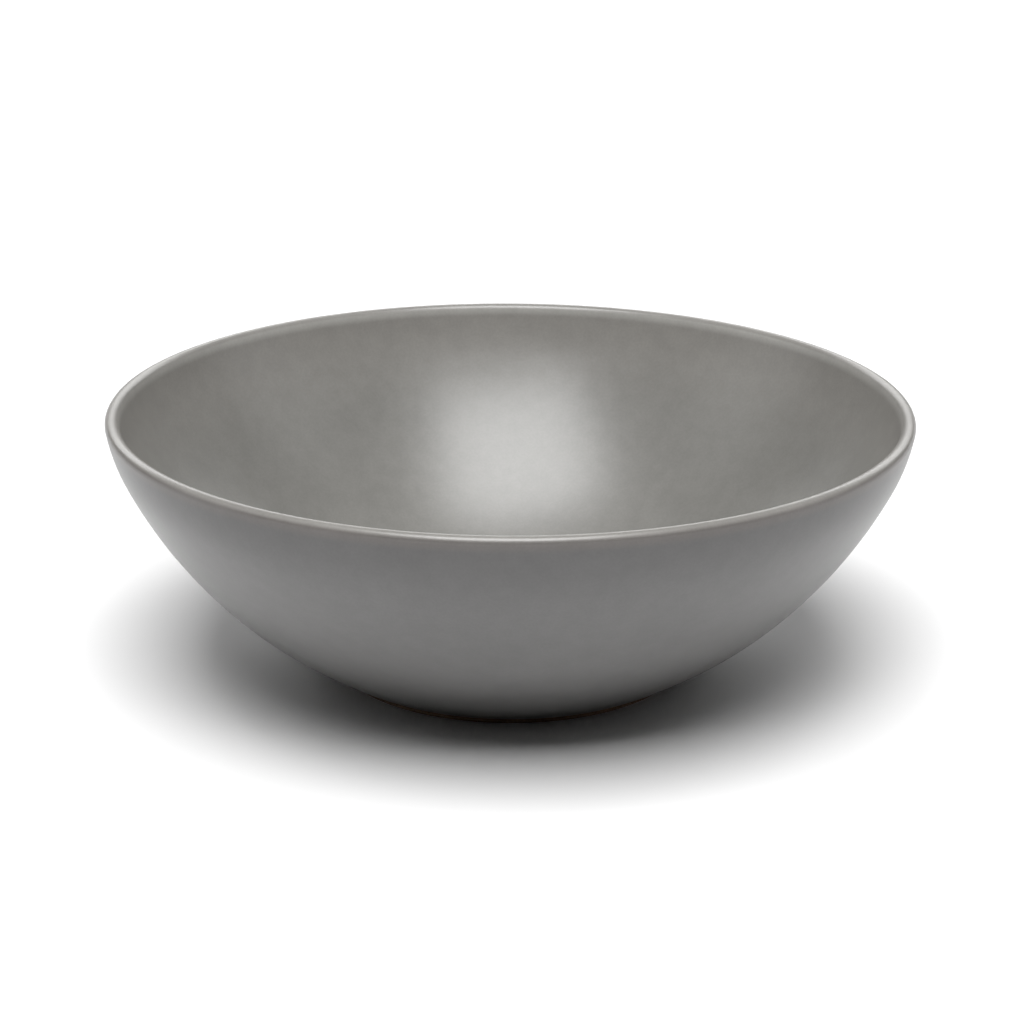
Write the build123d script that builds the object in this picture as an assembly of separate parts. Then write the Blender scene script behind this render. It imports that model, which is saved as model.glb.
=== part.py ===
from build123d import *
from math import asin, cos, degrees, radians, sin
import os

# A round open stoneware bowl: a heavy fired clay body on a low turned foot ring, under a
# satin glaze that runs unbroken over its inside, lip and outside and stops above the bare
# foot. The recess inside the foot ring has a glaze disc of its own.
#
# Frame: millimetres, +Z up, origin on the floor at the centre of the foot ring.
# Every piece is turned, so the design is one half-section. In it, r is the distance from
# the upright axis and z is the height above the floor. A wall is a chain of tangent arcs
# that runs down from the lip, and each arc is named by its radius and by the slope, in
# degrees above level, that the wall has at its lower end.

# Driving dimensions of the glazed bowl
RIM_RADIUS = 120.0
HEIGHT = 80.5
LIP_THICKNESS = 4.1
GLAZE_THICKNESS = 0.35

# Outer wall, measured on the glaze
OUTER_LIP_SLOPE = 79.8
OUTER_SHOULDER_RADIUS = 52.8
OUTER_SHOULDER_SLOPE = 63.3
OUTER_FLANK_RADIUS = 139.6

# Inner wall, measured on the glaze
INNER_LIP_SLOPE = 74.5
INNER_SHOULDER_RADIUS = 62.0
INNER_SHOULDER_SLOPE = 60.5
INNER_FLANK_RADIUS = 134.0
INNER_HEEL_SLOPE = 27.0
FLOOR_HEIGHT = 6.2

# Bare foot ring
FOOT_OUTER_RADIUS = 52.0
FOOT_INNER_RADIUS = 46.8
FOOT_EDGE_ROUND = 0.35
WELL_DEPTH = 2.3
WELL_DRAFT = 0.6
WELL_CORNER_ROUND = 1.6

# Where the glaze stops
BARE_WALL_WIDTH = 0.6
WELL_GLAZE_MARGIN = 1.0

LIP_ROUND = LIP_THICKNESS / 2
LIP_CENTRE = (RIM_RADIUS - LIP_ROUND, HEIGHT - LIP_ROUND)
LEVEL = 0.0
WEDGES = 4


def point_on_arc(centre, radius, slope):
    """The half-section point of an upward-opening arc where its wall has this slope."""
    return (centre[0] + radius * sin(radians(slope)), centre[1] - radius * cos(radians(slope)))


def centre_of_arc(point, radius, slope):
    """The centre of the upward-opening arc that passes through a point at this slope."""
    return (point[0] - radius * sin(radians(slope)), point[1] + radius * cos(radians(slope)))


def trace_wall(top_point, top_slope, sweeps):
    """The tangent arcs down a wall, each as (centre, radius, upper slope, lower slope)."""
    arcs = []
    point = top_point
    slope = top_slope
    for radius, lower_slope in sweeps:
        centre = centre_of_arc(point, radius, slope)
        arcs.append((centre, radius, slope, lower_slope))
        point = point_on_arc(centre, radius, lower_slope)
        slope = lower_slope
    return arcs


def arc_end(arc, inset=0.0):
    """The lower end of a wall arc whose radius is smaller by inset."""
    centre, radius, upper_slope, lower_slope = arc
    return point_on_arc(centre, radius - inset, lower_slope)


def outer_arcs(foot_slope):
    """The glazed outer wall from the lip down to where its slope is foot_slope."""
    lip_point = point_on_arc(LIP_CENTRE, LIP_ROUND, OUTER_LIP_SLOPE)
    shoulder = (OUTER_SHOULDER_RADIUS, OUTER_SHOULDER_SLOPE)
    flank = (OUTER_FLANK_RADIUS, foot_slope)
    return trace_wall(lip_point, OUTER_LIP_SLOPE, [shoulder, flank])


def inner_arcs():
    """The glazed inner wall, from the lip's opposite side down to the level floor."""
    lip_point = point_on_arc(LIP_CENTRE, -LIP_ROUND, INNER_LIP_SLOPE)
    shoulder = (INNER_SHOULDER_RADIUS, INNER_SHOULDER_SLOPE)
    flank = (INNER_FLANK_RADIUS, INNER_HEEL_SLOPE)
    upper_arcs = trace_wall(lip_point, INNER_LIP_SLOPE, [shoulder, flank])
    heel_top = arc_end(upper_arcs[-1])
    heel_radius = (heel_top[1] - FLOOR_HEIGHT) / (1 - cos(radians(INNER_HEEL_SLOPE)))
    return upper_arcs + trace_wall(heel_top, INNER_HEEL_SLOPE, [(heel_radius, LEVEL)])


def clay_foot_slope():
    """The slope of the outer wall where the clay under the glaze reaches the foot's side."""
    centre, radius, upper_slope, lower_slope = outer_arcs(LEVEL)[-1]
    return degrees(asin((FOOT_OUTER_RADIUS - centre[0]) / (radius - GLAZE_THICKNESS)))


def glaze_foot_slope():
    """The slope of the outer wall where the glaze stops, a little way above the foot."""
    return clay_foot_slope() + degrees(BARE_WALL_WIDTH / OUTER_FLANK_RADIUS)


def wall_edges(arcs, inset):
    """The half-section edges of a wall, with every arc's radius smaller by inset."""
    edges = []
    for centre, radius, upper_slope, lower_slope in arcs:
        edges.append(CenterArc(centre, radius - inset, upper_slope - 90, lower_slope - upper_slope))
    return edges


def bowl_line(foot_slope, depth):
    """The bowl's line at a depth below the glaze's surface: outside, lip, inside and floor."""
    inside = inner_arcs()
    floor_edge = arc_end(inside[-1], -depth)
    lip_sweep = 180 + INNER_LIP_SLOPE - OUTER_LIP_SLOPE
    lip = CenterArc(LIP_CENTRE, LIP_ROUND - depth, OUTER_LIP_SLOPE - 90, lip_sweep)
    floor = Line(floor_edge, (0, floor_edge[1]))
    return wall_edges(outer_arcs(foot_slope), depth) + [lip] + wall_edges(inside, -depth) + [floor]


def turned(edges):
    """The solid that a closed half-section sweeps in one turn about the upright axis.

    It is swept as equal wedges that are fused, so that its faces are short, even patches.
    """
    half_section = Plane.XZ * make_face(edges)
    wedge = revolve(half_section, axis=Axis.Z, revolution_arc=360 / WEDGES)
    wedges = [Rot(Z=360 / WEDGES * turn) * wedge for turn in range(WEDGES)]
    return wedges[0].fuse(*wedges[1:])


def rolled_edge(start, end, slope):
    """A half-round glaze edge that bulges down the wall between two points across the coat."""
    bulge = GLAZE_THICKNESS / 2
    middle_r = (start[0] + end[0]) / 2 - bulge * cos(radians(slope))
    middle_z = (start[1] + end[1]) / 2 - bulge * sin(radians(slope))
    return ThreePointArc(start, (middle_r, middle_z), end)


def clay_body():
    """The fired clay: bowl wall, base and turned foot ring in one piece."""
    foot_slope = clay_foot_slope()
    foot_corner = arc_end(outer_arcs(foot_slope)[-1], GLAZE_THICKNESS)
    underside = FilletPolyline(
        (0, WELL_DEPTH),
        (FOOT_INNER_RADIUS - WELL_DRAFT, WELL_DEPTH),
        (FOOT_INNER_RADIUS, 0),
        (FOOT_OUTER_RADIUS, 0),
        foot_corner,
        radius=[WELL_CORNER_ROUND, FOOT_EDGE_ROUND, FOOT_EDGE_ROUND],
    )
    axis_line = Line((0, FLOOR_HEIGHT - GLAZE_THICKNESS), (0, WELL_DEPTH))
    return turned(bowl_line(foot_slope, GLAZE_THICKNESS) + [axis_line] + underside.edges())


def glaze_coat():
    """The glaze over the inside, lip and outside, ending in a rolled edge above the foot."""
    foot_slope = glaze_foot_slope()
    last_arc = outer_arcs(foot_slope)[-1]
    foot_edge = rolled_edge(arc_end(last_arc), arc_end(last_arc, GLAZE_THICKNESS), foot_slope)
    axis_line = Line((0, FLOOR_HEIGHT), (0, FLOOR_HEIGHT - GLAZE_THICKNESS))
    surface = bowl_line(foot_slope, 0)
    underface = bowl_line(foot_slope, GLAZE_THICKNESS)
    return turned(surface + [axis_line] + underface + [foot_edge])


def foot_well_glaze():
    """The glaze disc on the recessed base inside the foot ring, with a rolled rim."""
    rim_radius = FOOT_INNER_RADIUS - WELL_DRAFT - WELL_CORNER_ROUND - WELL_GLAZE_MARGIN
    low_z = WELL_DEPTH - GLAZE_THICKNESS
    top = Line((0, WELL_DEPTH), (rim_radius, WELL_DEPTH))
    middle = (rim_radius + GLAZE_THICKNESS / 2, WELL_DEPTH - GLAZE_THICKNESS / 2)
    rim = ThreePointArc((rim_radius, WELL_DEPTH), middle, (rim_radius, low_z))
    bottom = Line((rim_radius, low_z), (0, low_z))
    axis_line = Line((0, low_z), (0, WELL_DEPTH))
    return turned([top, rim, bottom, axis_line])


def main():
    os.makedirs("parts", exist_ok=True)
    nodes = {
        "clay_body": clay_body(),
        "glaze_coat": glaze_coat(),
        "foot_well_glaze": foot_well_glaze(),
    }
    for name, solid in nodes.items():
        export_step(solid, f"parts/{name}.step")


main()
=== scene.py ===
import math

import bpy
from mathutils import Matrix, Vector, noise


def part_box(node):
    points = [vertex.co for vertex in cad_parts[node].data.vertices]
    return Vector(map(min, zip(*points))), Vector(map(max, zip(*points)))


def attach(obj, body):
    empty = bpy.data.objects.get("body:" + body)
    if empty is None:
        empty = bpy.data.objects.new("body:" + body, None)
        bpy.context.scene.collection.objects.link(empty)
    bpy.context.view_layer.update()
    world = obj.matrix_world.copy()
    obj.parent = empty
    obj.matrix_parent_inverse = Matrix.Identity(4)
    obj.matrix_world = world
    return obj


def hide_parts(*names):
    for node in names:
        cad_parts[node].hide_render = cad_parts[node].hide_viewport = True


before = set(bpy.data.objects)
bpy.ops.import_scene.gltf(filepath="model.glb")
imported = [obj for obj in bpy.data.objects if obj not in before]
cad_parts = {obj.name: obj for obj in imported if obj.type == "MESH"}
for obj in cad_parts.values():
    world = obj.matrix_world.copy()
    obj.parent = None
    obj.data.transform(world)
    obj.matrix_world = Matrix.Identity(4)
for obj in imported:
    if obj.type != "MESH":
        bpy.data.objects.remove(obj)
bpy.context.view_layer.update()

# A round stoneware bowl, in metres, standing on its foot ring at the origin. Each piece is
# a half-section of (r, z) points, r from the upright axis and z up, turned about the axis.
# A wall is a chain of tangent arcs, and a slope is degrees above level.

# What the frame gives
GLAZE_LOW, GLAZE_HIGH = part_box("glaze_coat")
WELL_LOW, WELL_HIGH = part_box("foot_well_glaze")
RIM_RADIUS = GLAZE_HIGH.x
HEIGHT = GLAZE_HIGH.z
GLAZE_THICKNESS = WELL_HIGH.z - WELL_LOW.z
WELL_DEPTH = WELL_HIGH.z
WELL_GLAZE_RADIUS = WELL_HIGH.x

# The wall's line, as in the CAD
LIP_ROUND = 0.00205
LIP_CENTRE = (RIM_RADIUS - LIP_ROUND, HEIGHT - LIP_ROUND)
OUTER_LIP_SLOPE = 79.8
OUTER_SHOULDER_RADIUS = 0.0528
OUTER_SHOULDER_SLOPE = 63.3
OUTER_FLANK_RADIUS = 0.1396
INNER_LIP_SLOPE = 74.5
INNER_SHOULDER_RADIUS = 0.062
INNER_SHOULDER_SLOPE = 60.5
INNER_FLANK_RADIUS = 0.134
INNER_HEEL_SLOPE = 27.0
FLOOR_HEIGHT = 0.0062

# The foot ring, as in the CAD
FOOT_OUTER_RADIUS = 0.052
FOOT_INNER_RADIUS = 0.0468
FOOT_EDGE_ROUND = 0.00035
WELL_DRAFT = 0.0006
WELL_CORNER_ROUND = 0.0016
BARE_WALL_WIDTH = 0.0006

# How finely the pieces are turned, and how much of the base its even steps take up
SEGMENTS = 384
WALL_STEP = 0.0022
LIP_STEPS = 28
ROUND_STEPS = 6
FLAT_STEPS = 20
BASE_REACH = 0.95

# How far the real ware strays from a true turned form: an oval warp of the rim, turned by these
# angles, and a slow wave in the wall
RIM_WARP = 0.00007
WARP_OUT_SHARE = 0.6
WARP_OUT_ANGLE = 0.7
WARP_UP_ANGLE = 2.1
WALL_WAVE = 0.00005
WAVE_SCALE = 1.3

# What every noise pattern mostly keeps between, and how much of a spot is at full strength
NOISE_LOW = 0.3
NOISE_HIGH = 0.7
SPOT_CORE = 0.4

# The glaze's colours in the bowl, on the lip, down the outside and at its thin edge
GLAZE_INSIDE = (0.216, 0.212, 0.199, 1.0)
# Painted light near the rim, paler than the bowl's own colour
GLAZE_NEAR_RIM_PAINTED_LIGHT = (0.272, 0.262, 0.245, 1.0)
# A painted highlight inside the lip, a band paler than the glaze's own colour
GLAZE_INNER_LIP_HIGHLIGHT = (0.40, 0.391, 0.370, 1.0)
# Painted light on the lip's top
GLAZE_LIP_PAINTED_LIGHT = (0.27, 0.261, 0.245, 1.0)
# Down the outside the colour is painted shade and light: darker at the foot and on the shoulder,
# paler on the flank, and just below the lip a warm tint made paler with painted light
GLAZE_BELOW_LIP_TINT_AND_PAINTED_LIGHT = (0.147, 0.136, 0.129, 1.0)
GLAZE_SHOULDER_PAINTED_SHADE = (0.122, 0.120, 0.119, 1.0)
GLAZE_FLANK_PAINTED_LIGHT = (0.155, 0.152, 0.150, 1.0)
GLAZE_FOOT_PAINTED_SHADE = (0.085, 0.082, 0.080, 1.0)
GLAZE_EDGE = (0.075, 0.042, 0.024, 1.0)
GLAZE_SPECK = (0.10, 0.085, 0.07, 1.0)

# How far below the rim's top the glaze starts to change, with painted light and a painted
# highlight near the rim, and the heights of flank and shoulder, where the painted shade and
# light outside change
RIM_FADE = 0.034
INNER_LIP_HIGHLIGHT_DEPTH = 0.0038
LIP_PAINTED_LIGHT_DEPTH = 0.0022
BELOW_LIP = 0.0025
SHOULDER_HEIGHT = 0.052
FLANK_HEIGHT = 0.032

# Where the lip's colours meet, in lip radii in from the rim's edge or down from its top; the
# drop and the fade place the painted highlight inside the lip
LIP_SIDE = 0.36
INNER_LIP_DROP = 0.7
INNER_LIP_FADE = 0.4

# How far a face looks up, from -1 for straight down to 1, where outside turns to inside
OUTSIDE_FACING = -0.1
INSIDE_FACING = 0.25

# The brown edge above the foot: its width, and how far it strays
EDGE_BREAK = 0.0009
EDGE_STRAY = 0.0002

# The glaze's gloss
GLAZE_IOR = 1.56
GLAZE_ROUGHNESS = 0.305
CLOUD_ROUGHNESS = 0.015
GRAIN_ROUGHNESS = 0.01

# The glaze's patterns, each with its features to the metre, detail and roughness, then how
# much they shade the colour, and how high they stand
GLAZE_CLOUD = (26.0, 3.0, 0.5)
GLAZE_MOTTLE = (210.0, 4.0, 0.6)
GLAZE_GRAIN = (1300.0, 2.0, 0.5)
CLOUD_SHADE = 0.035
MOTTLE_SHADE = 0.03
GRAIN_SHADE = 0.03
MOTTLE_HEIGHT = 0.00002
GRAIN_HEIGHT = 0.000006

# The faint rings that turning leaves: waves to the metre times two pi, and their height
TURNING_WAVES = 2 * math.pi / 0.0045
TURNING_HEIGHT = 0.0000008

# Specks in the glaze: cells to the metre, a speck's size in cells, the share of cells with one
SPECKS = (420.0, 0.12, 0.16)
SPECK_STRENGTH = 0.05

# The clay, with the same measures for its patterns, turning grooves and dark grit
CLAY_DARK = (0.21, 0.13, 0.08, 1.0)
CLAY_PALE = (0.31, 0.21, 0.14, 1.0)
CLAY_GRIT = (0.09, 0.055, 0.035, 1.0)
CLAY_SMOOTHEST = 0.78
CLAY_ROUGHEST = 0.95
CLAY_PATCH = (90.0, 4.0, 0.6)
CLAY_GRAIN = (1600.0, 4.0, 0.7)
CLAY_GRAIN_SHADE = 0.2
PATCH_HEIGHT = 0.00004
CLAY_GRAIN_HEIGHT = 0.00006
GROOVE_WAVES = 2 * math.pi / 0.0007
GROOVE_HEIGHT = 0.000015
GRIT = (900.0, 0.22, 0.2)
GRIT_STRENGTH = 0.6

# The floor, a flat disc
FLOOR_WHITE = (0.9, 0.9, 0.9, 1.0)
FLOOR_REACH = 8.0
FLOOR_SIDES = 96

# The soft boxes, far enough off to light the floor evenly. Each has a name, an elevation, an
# azimuth clockwise from the back, a spin, a width and a height in metres, and a radiance.
SOFTBOX_DISTANCE = 30.0
SOFTBOXES = [
    ("overhead", 71.0, 184.0, 12.0, 20.5, 22.0, 8.6),
    ("back", 27.0, 0.0, 0.0, 45.0, 10.4, 3.2),
    ("right", 25.0, 90.0, 0.0, 14.0, 24.0, 0.6),
    ("left", 25.0, 270.0, 0.0, 14.0, 24.0, 0.7),
]

# The camera
CAMERA_DISTANCE = 0.96
CAMERA_ELEVATION = 19.0
CAMERA_ROLL = 0.29
CAMERA_AIM = Vector((0.00060, 0.0, 0.04714))
CAMERA_ORBIT = Vector((0.0, 0.0, 0.042))
CAMERA_SIGHT = 50.0
LENS_MM = 111.93
SENSOR_MM = 36.0


def polar(centre, radius, degrees):
    """The point at this polar angle on a circle in the half-section."""
    angle = math.radians(degrees)
    return (centre[0] + radius * math.cos(angle), centre[1] + radius * math.sin(angle))


def arc(centre, radius, start, end, steps):
    """Points along an arc, both ends included."""
    return [polar(centre, radius, start + (end - start) * k / steps) for k in range(steps + 1)]


def joined(*runs):
    """One chain of points from runs that share their ends."""
    chain = list(runs[0])
    for run in runs[1:]:
        chain += run[1:]
    return chain


def wall_arc(top_point, radius, top_slope, low_slope):
    """(centre, radius, upper slope, lower slope) of the arc down a wall from its top point."""
    centre = polar(top_point, -radius, top_slope - 90)
    return (centre, radius, top_slope, low_slope)


def arc_foot(piece):
    """The lower end of a wall arc."""
    centre, radius, _, low_slope = piece
    return polar(centre, radius, low_slope - 90)


def outer_wall():
    """The outer wall's arcs from the lip down, the last one left to run on to level."""
    shoulder = wall_arc(
        polar(LIP_CENTRE, LIP_ROUND, OUTER_LIP_SLOPE - 90),
        OUTER_SHOULDER_RADIUS, OUTER_LIP_SLOPE, OUTER_SHOULDER_SLOPE,
    )
    flank = wall_arc(arc_foot(shoulder), OUTER_FLANK_RADIUS, OUTER_SHOULDER_SLOPE, 0.0)
    return [shoulder, flank]


def inner_wall():
    """The inner wall's arcs from the lip down to the level floor."""
    shoulder = wall_arc(
        polar(LIP_CENTRE, LIP_ROUND, INNER_LIP_SLOPE + 90),
        INNER_SHOULDER_RADIUS, INNER_LIP_SLOPE, INNER_SHOULDER_SLOPE,
    )
    flank = wall_arc(
        arc_foot(shoulder), INNER_FLANK_RADIUS, INNER_SHOULDER_SLOPE, INNER_HEEL_SLOPE
    )
    heel_top = arc_foot(flank)
    heel_radius = (heel_top[1] - FLOOR_HEIGHT) / (1 - math.cos(math.radians(INNER_HEEL_SLOPE)))
    heel = wall_arc(heel_top, heel_radius, INNER_HEEL_SLOPE, 0.0)
    return [shoulder, flank, heel]


def clay_foot_slope():
    """The outer wall's slope where the clay meets the foot's upright side."""
    centre, radius, _, _ = outer_wall()[1]
    sine = (FOOT_OUTER_RADIUS - centre[0]) / (radius - GLAZE_THICKNESS)
    return math.degrees(math.asin(sine))


def glaze_foot_slope():
    """The outer wall's slope where the glaze stops, a little above the foot."""
    return clay_foot_slope() + math.degrees(BARE_WALL_WIDTH / OUTER_FLANK_RADIUS)


def wall_points(piece, inset, low_slope=None):
    """Points up a wall arc whose radius is smaller by inset, from its lower end."""
    centre, radius, top_slope, own_low_slope = piece
    start = own_low_slope if low_slope is None else low_slope
    steps = math.ceil(math.radians(top_slope - start) * radius / WALL_STEP)
    return arc(centre, radius - inset, start - 90, top_slope - 90, steps)


def bowl_line(foot_slope, depth):
    """The bowl's line at a depth under the glaze, from the foot to the middle of the floor."""
    shoulder, flank = outer_wall()
    outside = joined(wall_points(flank, depth, foot_slope), wall_points(shoulder, depth))
    lip = arc(
        LIP_CENTRE, LIP_ROUND - depth, OUTER_LIP_SLOPE - 90, INNER_LIP_SLOPE + 90, LIP_STEPS
    )
    inside = joined(*[wall_points(piece, -depth)[::-1] for piece in inner_wall()])
    floor_edge = inside[-1]
    floor_steps = math.ceil(floor_edge[0] / WALL_STEP)
    floor = []
    for k in range(floor_steps + 1):
        floor.append((floor_edge[0] * (1 - k / floor_steps), floor_edge[1]))
    return joined(outside, lip, inside, floor)


def rounded_corner(before, corner, after, radius):
    """Points round a corner of the half-section, on an arc tangent to both sides."""
    here = Vector(corner)
    back = (Vector(before) - here).normalized()
    ahead = (Vector(after) - here).normalized()
    half = back.angle(ahead) / 2
    centre = here + (back + ahead).normalized() * radius / math.sin(half)
    start = here + back * radius / math.tan(half) - centre
    end = here + ahead * radius / math.tan(half) - centre
    points = []
    for k in range(ROUND_STEPS + 1):
        direction = start.lerp(end, k / ROUND_STEPS).normalized()
        points.append(tuple(centre + direction * radius))
    return points


def stray(r, z, angle):
    """How far, in r and in z, the ware strays at a place: a faint warp that grows to the rim."""
    rise = (z / HEIGHT) ** 2
    across = Vector((math.cos(angle), math.sin(angle), z / HEIGHT))
    wave = noise.noise(across * WAVE_SCALE) * WALL_WAVE * rise
    warp = math.sin(2 * angle + WARP_OUT_ANGLE) * RIM_WARP * rise
    lift = math.sin(2 * angle + WARP_UP_ANGLE) * RIM_WARP * rise
    return (wave + warp * WARP_OUT_SHARE, lift)


def turned(name, chain):
    """A closed mesh from a half-section that starts and ends on the axis."""
    vertices = [(0.0, 0.0, chain[0][1])]
    for r, z in chain[1:-1]:
        for k in range(SEGMENTS):
            angle = 2 * math.pi * k / SEGMENTS
            out, up = stray(r, z, angle)
            vertices.append(((r + out) * math.cos(angle), (r + out) * math.sin(angle), z + up))
    vertices.append((0.0, 0.0, chain[-1][1]))
    rings = len(chain) - 2
    last = len(vertices) - 1
    faces = []
    for k in range(SEGMENTS):
        ahead = (k + 1) % SEGMENTS
        faces.append((0, 1 + ahead, 1 + k))
        for ring in range(rings - 1):
            low = 1 + ring * SEGMENTS
            high = low + SEGMENTS
            faces.append((low + k, low + ahead, high + ahead, high + k))
        top = 1 + (rings - 1) * SEGMENTS
        faces.append((top + k, top + ahead, last))
    mesh = bpy.data.meshes.new(name)
    mesh.from_pydata(vertices, [], faces)
    mesh.validate()
    mesh.polygons.foreach_set("use_smooth", [True] * len(mesh.polygons))
    piece = bpy.data.objects.new(name, mesh)
    bpy.context.scene.collection.objects.link(piece)
    return piece


def glaze_chain():
    """The glaze coat's half-section: underface, rolled edge above the foot, and surface."""
    foot_slope = glaze_foot_slope()
    underface = bowl_line(foot_slope, GLAZE_THICKNESS)[::-1]
    surface = bowl_line(foot_slope, 0.0)
    inner = Vector(underface[-1])
    outer = Vector(surface[0])
    middle = (inner + outer) / 2
    start = math.degrees(math.atan2(inner.y - middle.y, inner.x - middle.x))
    edge = arc(tuple(middle), (outer - inner).length / 2, start, start + 180, ROUND_STEPS)
    return underface[:-1] + edge + surface[1:]


def clay_chain():
    """The clay's half-section: the recessed base, the foot ring, the wall and the floor."""
    body = bowl_line(clay_foot_slope(), GLAZE_THICKNESS)
    well_edge = (FOOT_INNER_RADIUS - WELL_DRAFT, WELL_DEPTH)
    foot_inside = (FOOT_INNER_RADIUS, 0.0)
    foot_outside = (FOOT_OUTER_RADIUS, 0.0)
    base_radius = well_edge[0] * BASE_REACH
    base = [(base_radius * k / FLAT_STEPS, WELL_DEPTH) for k in range(FLAT_STEPS + 1)]
    corner = rounded_corner((0.0, WELL_DEPTH), well_edge, foot_inside, WELL_CORNER_ROUND)
    inside = rounded_corner(well_edge, foot_inside, foot_outside, FOOT_EDGE_ROUND)
    outside = rounded_corner(foot_inside, foot_outside, body[0], FOOT_EDGE_ROUND)
    return base + corner + inside + outside + body


def well_chain():
    """The foot recess's glaze disc, with a rolled rim."""
    half = GLAZE_THICKNESS / 2
    flat_radius = WELL_GLAZE_RADIUS - half
    bottom = [(flat_radius * k / FLAT_STEPS, WELL_LOW.z) for k in range(FLAT_STEPS + 1)]
    rim = arc((flat_radius, WELL_LOW.z + half), half, -90, 90, ROUND_STEPS)
    top = [(flat_radius * (1 - k / FLAT_STEPS), WELL_HIGH.z) for k in range(FLAT_STEPS + 1)]
    return joined(bottom, rim, top)


def new_material(name):
    """A material with an empty tree but for its output, and its shader."""
    material = bpy.data.materials.new(name)
    material.use_nodes = True
    tree = material.node_tree
    shader = tree.nodes["Principled BSDF"]
    return material, tree, shader


def add_node(tree, kind, inputs=None, **settings):
    """A node of this kind with its settings and socket values."""
    node = tree.nodes.new(kind)
    for key, value in settings.items():
        setattr(node, key, value)
    for key, value in (inputs or {}).items():
        node.inputs[key].default_value = value
    return node


def plug(tree, value, socket):
    """Gives a socket another node's output, or a plain value."""
    if isinstance(value, bpy.types.NodeSocket):
        tree.links.new(value, socket)
    else:
        socket.default_value = value


def math_node(tree, operation, first, second=0.0):
    """The result of one sum on two values."""
    node = add_node(tree, "ShaderNodeMath", operation=operation)
    plug(tree, first, node.inputs[0])
    plug(tree, second, node.inputs[1])
    return node.outputs[0]


def between(tree, value, low, high, at_low=0.0, at_high=1.0):
    """A value that eases from at_low to at_high while another goes from low to high."""
    inputs = {"From Min": low, "From Max": high, "To Min": at_low, "To Max": at_high}
    node = add_node(tree, "ShaderNodeMapRange", inputs, interpolation_type="SMOOTHSTEP")
    plug(tree, value, node.inputs["Value"])
    return node.outputs["Result"]


def blend(tree, share, first, second, how="MIX"):
    """Two colours blended."""
    node = add_node(tree, "ShaderNodeMix", data_type="RGBA", blend_type=how)
    plug(tree, share, node.inputs["Factor"])
    plug(tree, first, node.inputs[6])
    plug(tree, second, node.inputs[7])
    return node.outputs[2]


def varied(tree, pattern, at_low, at_high):
    """A value that a noise pattern moves between two limits."""
    return between(tree, pattern, NOISE_LOW, NOISE_HIGH, at_low, at_high)


def noise_at(tree, place, scale, detail, roughness):
    """Noise from 0 to 1 with this many features to the metre."""
    inputs = {"Scale": scale, "Detail": detail, "Roughness": roughness}
    node = add_node(tree, "ShaderNodeTexNoise", inputs)
    plug(tree, place, node.inputs["Vector"])
    return node.outputs["Fac"]


def shaded(tree, colour, pattern, shade):
    """A colour made darker and paler by a pattern, by this share each way."""
    level = varied(tree, pattern, 1.0 - shade, 1.0 + shade)
    grey = add_node(tree, "ShaderNodeCombineColor")
    for channel in grey.inputs:
        plug(tree, level, channel)
    return blend(tree, 1.0, colour, grey.outputs["Color"], "MULTIPLY")


def spots(tree, place, scale, size, share):
    """A mask of small round spots: 1 inside a spot, in this share of the cells."""
    cells = add_node(tree, "ShaderNodeTexVoronoi", {"Scale": scale})
    plug(tree, place, cells.inputs["Vector"])
    lot = add_node(tree, "ShaderNodeSeparateColor")
    plug(tree, cells.outputs["Color"], lot.inputs["Color"])
    chosen = math_node(tree, "LESS_THAN", lot.outputs["Red"], share)
    dot = between(tree, cells.outputs["Distance"], size * SPOT_CORE, size, 1.0, 0.0)
    return math_node(tree, "MULTIPLY", dot, chosen)


def relief(tree, shader, layers):
    """Bumps on a shader, from (height pattern, height in metres) layers."""
    below = None
    for pattern, height in layers:
        bump = add_node(tree, "ShaderNodeBump", {"Strength": 1.0, "Distance": height})
        plug(tree, pattern, bump.inputs["Height"])
        if below:
            plug(tree, below, bump.inputs["Normal"])
        below = bump.outputs["Normal"]
    plug(tree, below, shader.inputs["Normal"])


def object_place(tree):
    """The place on the piece in metres, with its height and its distance from the axis."""
    place = add_node(tree, "ShaderNodeTexCoord").outputs["Object"]
    split = add_node(tree, "ShaderNodeSeparateXYZ")
    plug(tree, place, split.inputs["Vector"])
    x, y, height = split.outputs
    x_square = math_node(tree, "MULTIPLY", x, x)
    y_square = math_node(tree, "MULTIPLY", y, y)
    radius = math_node(tree, "SQRT", math_node(tree, "ADD", x_square, y_square))
    return place, height, radius


def ridges(tree, radius, waves):
    """Round ridges about the axis, from -1 to 1."""
    return math_node(tree, "SINE", math_node(tree, "MULTIPLY", radius, waves))


def inside_mask(tree, radius):
    """1 in the bowl and on the lip's top, easing to 0 down the lip's outer side."""
    facing = add_node(tree, "ShaderNodeSeparateXYZ")
    normal = add_node(tree, "ShaderNodeNewGeometry").outputs["Normal"]
    plug(tree, normal, facing.inputs["Vector"])
    upward = between(tree, facing.outputs["Z"], OUTSIDE_FACING, INSIDE_FACING)
    lip_side = RIM_RADIUS - LIP_ROUND * LIP_SIDE
    within = between(tree, radius, lip_side, RIM_RADIUS, 1.0, 0.0)
    return math_node(tree, "MULTIPLY", upward, within)


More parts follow.
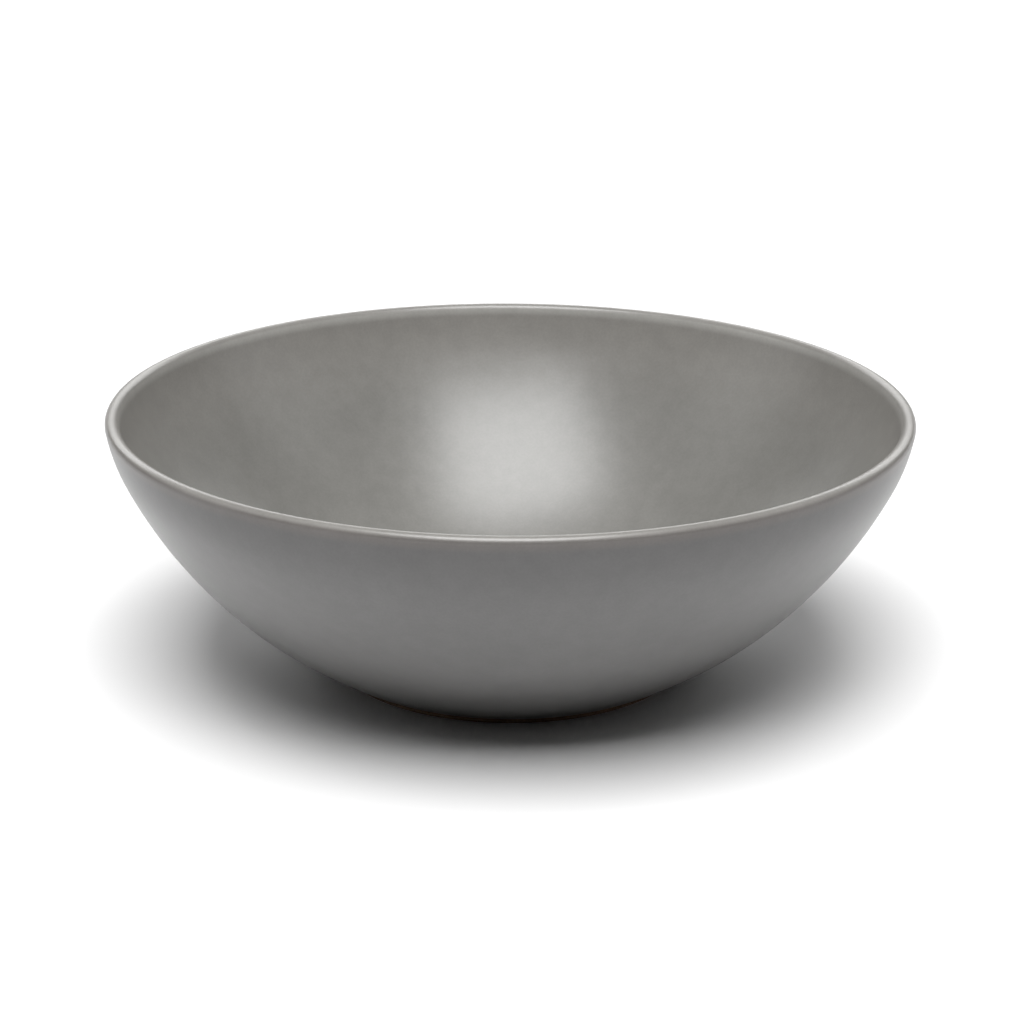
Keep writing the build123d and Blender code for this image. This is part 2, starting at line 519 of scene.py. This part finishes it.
def bowl_colour_and_painted_light(tree, height):
    """The glaze in the bowl, its own colour with painted light: paler up to the rim and on the
    lip's top as painted light, and palest inside the lip as a painted highlight.
    """
    # Painted light: the bowl grows paler up to the rim and on the lip's top
    rising = between(tree, height, HEIGHT - RIM_FADE, HEIGHT)
    colour = blend(tree, rising, GLAZE_INSIDE, GLAZE_NEAR_RIM_PAINTED_LIGHT)
    on_lip = between(tree, height, HEIGHT - LIP_PAINTED_LIGHT_DEPTH, HEIGHT)
    colour = blend(tree, on_lip, colour, GLAZE_LIP_PAINTED_LIGHT)
    # The palest band, a little inside the lip, is a painted highlight
    highlight_top = HEIGHT - LIP_ROUND * INNER_LIP_DROP
    highlight_end = highlight_top + LIP_ROUND * INNER_LIP_FADE
    highlight_fading = between(tree, height, highlight_top, highlight_end, 1.0, 0.0)
    highlight_rising = between(tree, height, HEIGHT - INNER_LIP_HIGHLIGHT_DEPTH, highlight_top)
    inner_lip_highlight = math_node(tree, "MULTIPLY", highlight_fading, highlight_rising)
    return blend(tree, inner_lip_highlight, colour, GLAZE_INNER_LIP_HIGHLIGHT)


def outside_painted_shading(tree, height):
    """The glaze outside, painted shade and light by height: darker at the foot as painted shade,
    paler on the flank as painted light, darker on the shoulder as painted shade, and warm just
    below the lip, a warm tint made paler with painted light.
    """
    up_flank = between(tree, height, 0.0, FLANK_HEIGHT)
    colour = blend(tree, up_flank, GLAZE_FOOT_PAINTED_SHADE, GLAZE_FLANK_PAINTED_LIGHT)
    up_shoulder = between(tree, height, SHOULDER_HEIGHT, HEIGHT)
    colour = blend(tree, up_shoulder, colour, GLAZE_SHOULDER_PAINTED_SHADE)
    under_lip = between(tree, height, HEIGHT - 2 * BELOW_LIP, HEIGHT - BELOW_LIP)
    return blend(tree, under_lip, colour, GLAZE_BELOW_LIP_TINT_AND_PAINTED_LIGHT)


def edge_mask(tree, height, radius, mottle):
    """1 along the glaze's thin, ragged edge above the foot, and 0 in the foot's recess."""
    ragged = math_node(tree, "ADD", height, varied(tree, mottle, -EDGE_STRAY, EDGE_STRAY))
    thin = between(tree, ragged, GLAZE_LOW.z, GLAZE_LOW.z + EDGE_BREAK, 1.0, 0.0)
    on_foot = math_node(tree, "GREATER_THAN", radius, FOOT_INNER_RADIUS)
    return math_node(tree, "MULTIPLY", thin, on_foot)


def glaze_material():
    """Satin grey glaze: paler and warmer inside, with painted light near the rim and on the lip,
    a painted highlight inside the lip, painted shade and light down the outside, and brown at
    its edge.
    """
    material, tree, shader = new_material("satin_glaze")
    place, height, radius = object_place(tree)
    cloud = noise_at(tree, place, *GLAZE_CLOUD)
    mottle = noise_at(tree, place, *GLAZE_MOTTLE)
    grain = noise_at(tree, place, *GLAZE_GRAIN)
    inside = inside_mask(tree, radius)
    # Outside, the colour is painted shade and light; inside, the glaze's own colour with painted
    # light near the rim and a painted highlight inside the lip
    colour = blend(tree, inside, outside_painted_shading(tree, height), bowl_colour_and_painted_light(tree, height))
    colour = shaded(tree, colour, cloud, CLOUD_SHADE)
    colour = shaded(tree, colour, mottle, MOTTLE_SHADE)
    colour = shaded(tree, colour, grain, GRAIN_SHADE)
    speck = math_node(tree, "MULTIPLY", spots(tree, place, *SPECKS), SPECK_STRENGTH)
    colour = blend(tree, speck, colour, GLAZE_SPECK)
    colour = blend(tree, edge_mask(tree, height, radius, mottle), colour, GLAZE_EDGE)
    plug(tree, colour, shader.inputs["Base Color"])
    smoothest = GLAZE_ROUGHNESS - CLOUD_ROUGHNESS
    broad = varied(tree, cloud, smoothest, GLAZE_ROUGHNESS + CLOUD_ROUGHNESS)
    fine = varied(tree, grain, -GRAIN_ROUGHNESS, GRAIN_ROUGHNESS)
    plug(tree, math_node(tree, "ADD", broad, fine), shader.inputs["Roughness"])
    turning = ridges(tree, radius, TURNING_WAVES)
    layers = [(turning, TURNING_HEIGHT), (mottle, MOTTLE_HEIGHT), (grain, GRAIN_HEIGHT)]
    relief(tree, shader, layers)
    shader.inputs["IOR"].default_value = GLAZE_IOR
    return material


def clay_material():
    """Bare brown stoneware clay: gritty, with fine turning grooves."""
    material, tree, shader = new_material("bare_clay")
    place, _, radius = object_place(tree)
    patch = noise_at(tree, place, *CLAY_PATCH)
    grain = noise_at(tree, place, *CLAY_GRAIN)
    colour = blend(tree, varied(tree, patch, 0.0, 1.0), CLAY_DARK, CLAY_PALE)
    colour = shaded(tree, colour, grain, CLAY_GRAIN_SHADE)
    grit = math_node(tree, "MULTIPLY", spots(tree, place, *GRIT), GRIT_STRENGTH)
    colour = blend(tree, grit, colour, CLAY_GRIT)
    plug(tree, colour, shader.inputs["Base Color"])
    plug(tree, varied(tree, grain, CLAY_SMOOTHEST, CLAY_ROUGHEST), shader.inputs["Roughness"])
    groove = ridges(tree, radius, GROOVE_WAVES)
    layers = [(groove, GROOVE_HEIGHT), (patch, PATCH_HEIGHT), (grain, CLAY_GRAIN_HEIGHT)]
    relief(tree, shader, layers)
    return material


def dress(piece, material, node):
    """Gives a piece its material, hangs it from the root body, and hides the CAD node that it
    stands for.
    """
    piece.data.materials.append(material)
    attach(piece, "root")
    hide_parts(node)


def build_bowl():
    """The three pieces of the bowl."""
    glaze = glaze_material()
    dress(turned("glaze_skin", glaze_chain()), glaze, "glaze_coat")
    dress(turned("fired_clay", clay_chain()), clay_material(), "clay_body")
    dress(turned("recess_glaze", well_chain()), glaze, "foot_well_glaze")


def build_floor():
    """A plain pale disc under the bowl."""
    mesh = bpy.data.meshes.new("studio_floor")
    corners = []
    for k in range(FLOOR_SIDES):
        angle = 2 * math.pi * k / FLOOR_SIDES
        corners.append((FLOOR_REACH * math.cos(angle), FLOOR_REACH * math.sin(angle), 0.0))
    mesh.from_pydata(corners, [], [tuple(range(FLOOR_SIDES))])
    floor = bpy.data.objects.new("studio_floor", mesh)
    bpy.context.scene.collection.objects.link(floor)
    material, _, shader = new_material("studio_white")
    shader.inputs["Base Color"].default_value = FLOOR_WHITE
    shader.inputs["Roughness"].default_value = 1.0
    shader.inputs["Specular IOR Level"].default_value = 0.0
    mesh.materials.append(material)


def build_camera():
    """The camera, in front of the bowl and a little above its rim."""
    elevation = math.radians(CAMERA_ELEVATION)
    arm = Vector((0.0, -math.cos(elevation), math.sin(elevation))) * CAMERA_DISTANCE
    place = CAMERA_ORBIT + arm
    turn = (CAMERA_AIM - place).to_track_quat("-Z", "Y").to_matrix().to_4x4()
    roll = Matrix.Rotation(math.radians(CAMERA_ROLL), 4, "Z")
    data = bpy.data.cameras.new("camera")
    data.lens = LENS_MM
    data.sensor_width = SENSOR_MM
    data.clip_end = CAMERA_SIGHT
    camera = bpy.data.objects.new("camera", data)
    camera.matrix_world = Matrix.Translation(place) @ turn @ roll
    bpy.context.scene.collection.objects.link(camera)
    bpy.context.scene.camera = camera


def build_softbox(name, elevation, azimuth, spin, width, height, radiance):
    """A rectangular light far off in one direction, facing the bowl."""
    rise = math.radians(elevation)
    bearing = math.radians(azimuth)
    level = Vector((math.sin(bearing), math.cos(bearing), 0.0))
    towards = level * math.cos(rise) + Vector((0.0, 0.0, math.sin(rise)))
    data = bpy.data.lights.new(name, "AREA")
    data.shape = "RECTANGLE"
    data.size = width
    data.size_y = height
    data.energy = radiance * math.pi * width * height
    lamp = bpy.data.objects.new(name, data)
    turn = (-towards).to_track_quat("-Z", "Y").to_matrix().to_4x4()
    spun = turn @ Matrix.Rotation(math.radians(spin), 4, "Z")
    lamp.matrix_world = Matrix.Translation(towards * SOFTBOX_DISTANCE) @ spun
    bpy.context.scene.collection.objects.link(lamp)


def build_lights():
    """The soft boxes, and a black world, so that they are all the light there is."""
    world = bpy.data.worlds.new("studio")
    world.use_nodes = True
    background = world.node_tree.nodes["Background"]
    background.inputs["Color"].default_value = (0.0, 0.0, 0.0, 1.0)
    bpy.context.scene.world = world
    for softbox in SOFTBOXES:
        build_softbox(*softbox)


build_bowl()
build_floor()
build_camera()
build_lights()
bpy.context.scene.view_settings.view_transform = "Standard"
